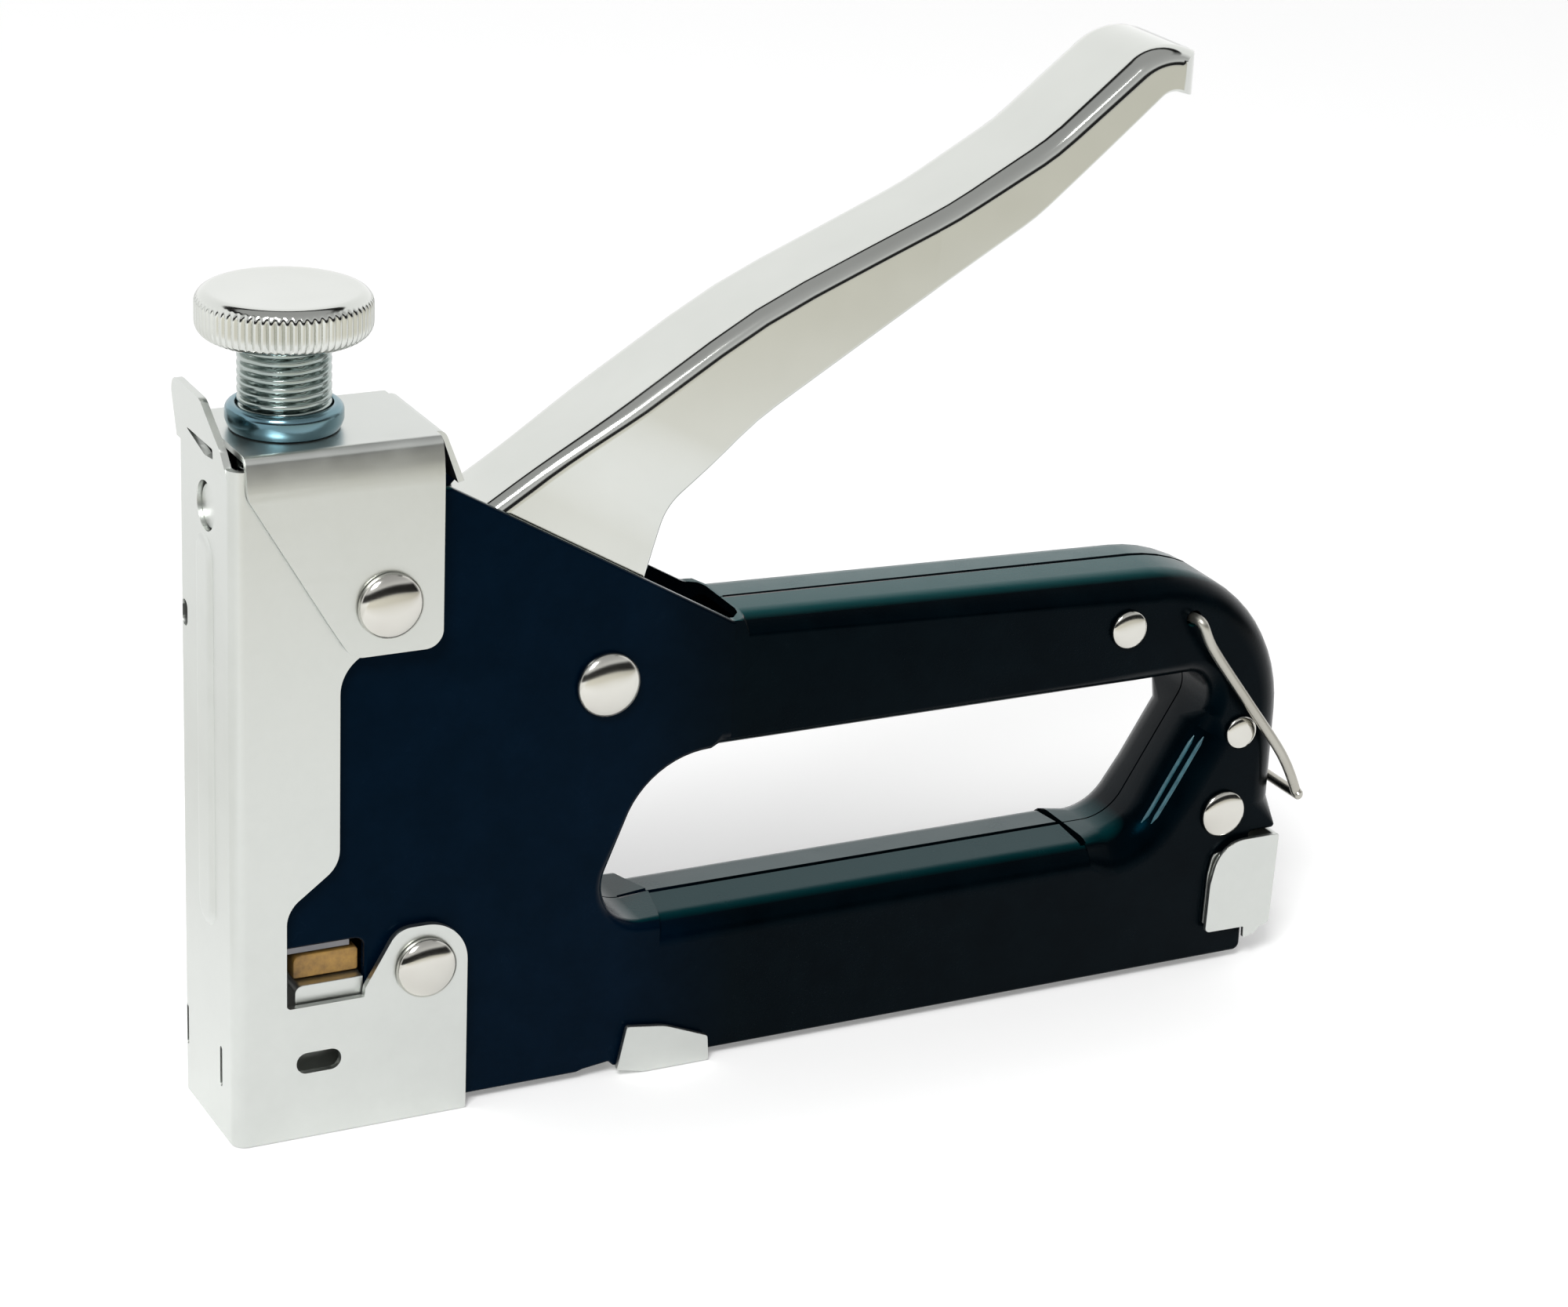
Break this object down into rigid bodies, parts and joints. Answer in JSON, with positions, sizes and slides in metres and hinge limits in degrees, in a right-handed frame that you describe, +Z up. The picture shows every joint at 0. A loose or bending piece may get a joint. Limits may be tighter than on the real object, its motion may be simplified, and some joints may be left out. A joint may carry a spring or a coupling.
{
  "type": "staple gun",
  "caption": "Hand staple gun: navy pressed-steel body with a hand opening, plated nose, chrome squeeze handle, knurled power knob and wire handle lock.",
  "frame": {"origin": "on the surface the tool stands on, under the middle of its length and in its middle plane", "axes": "+X from the nose back to the rear latch, +Y to the left of the tool seen from behind it, +Z up"},
  "size_m": [0.1746, 0.0288, 0.1465],
  "materials": {
    "navy_paint": "smooth glossy dark navy enamel",
    "zinc_sheet": "bright satin zinc-nickel plate",
    "chrome_plate": "polished chrome",
    "nickel_rivet": "polished nickel plate",
    "bail_wire": "drawn wire, nickel plated",
    "blue_zinc": "bluish bright zinc plate",
    "dark_steel": "plain oiled steel",
    "spring_steel": "drawn spring steel",
    "amber_polyurethane": "matt amber buffer"
  },
  "bodies": {
    "frame": {"left_shell": "navy_paint", "right_shell": "navy_paint", "nose_channel": "zinc_sheet", "top_cap": "zinc_sheet", "tension_bushing": "blue_zinc", "cap_rivet": "nickel_rivet", "handle_pivot_rivet": "nickel_rivet", "nose_rivet": "nickel_rivet", "bar_rivet": "nickel_rivet", "rear_rivet_upper": "nickel_rivet", "rear_rivet_lower": "nickel_rivet", "bumper": "amber_polyurethane", "bumper_seat": "zinc_sheet", "magazine_channel": "zinc_sheet", "foot_clip": "zinc_sheet"},
    "handle": {"handle_cover": "chrome_plate", "lifting_lever": "dark_steel", "lever_pin": "dark_steel", "handle_return_spring": "spring_steel"},
    "striker": {"striker": "dark_steel", "driver_blade": "spring_steel"},
    "seat": {"spring_seat": "dark_steel", "power_spring": "spring_steel"},
    "knob": {"tension_knob": "chrome_plate", "tension_screw": "blue_zinc"},
    "bail": {"wire_bail": "bail_wire"},
    "magazine": {"rear_latch": "zinc_sheet", "latch_catch": "zinc_sheet", "pusher_rail": "zinc_sheet", "pusher_spring": "spring_steel"},
    "pusher": {"staple_pusher": "dark_steel"}
  },
  "joints": [
    {"name": "handle_squeeze", "type": "hinge", "parent": "frame", "child": "handle", "pos_m": [-0.03055, 0, 0.0616], "axis": [0, 1, 0], "range_deg": [0, 30], "stiffness_Nm_per_rad": 1.2, "springref_deg": -22.92},
    {"name": "striker_lift", "type": "slide", "parent": "frame", "child": "striker", "axis": [0, 0, 1], "range_m": [0, 0.0195], "deforming": ["power_spring"]},
    {"name": "seat_slide", "type": "slide", "parent": "frame", "child": "seat", "axis": [0, 0, -1], "range_m": [0, 0.0072], "deforming": ["power_spring"]},
    {"name": "knob_turn", "type": "hinge", "parent": "seat", "child": "knob", "pos_m": [-0.07485, 0, 0.1142], "axis": [0, 0, -1], "range_deg": [0, 2160]},
    {"name": "bail_swing", "type": "hinge", "parent": "frame", "child": "bail", "pos_m": [0.06635, 0, 0.0585], "axis": [0, -1, 0], "range_deg": [0, 140]},
    {"name": "magazine_slide", "type": "slide", "parent": "frame", "child": "magazine", "axis": [1, 0, 0], "range_m": [0, 0.12]},
    {"name": "pusher_slide", "type": "slide", "parent": "magazine", "child": "pusher", "axis": [1, 0, 0], "range_m": [0, 0.14], "stiffness_N_per_m": 30, "springref_m": -0.1}
  ],
  "couplings": [
    {"joint": "striker_lift", "follows": "handle_squeeze", "m_per_rad": 0.0368},
    {"joint": "knob_turn", "follows": "seat_slide", "rad_per_m": 5235}
  ]
}
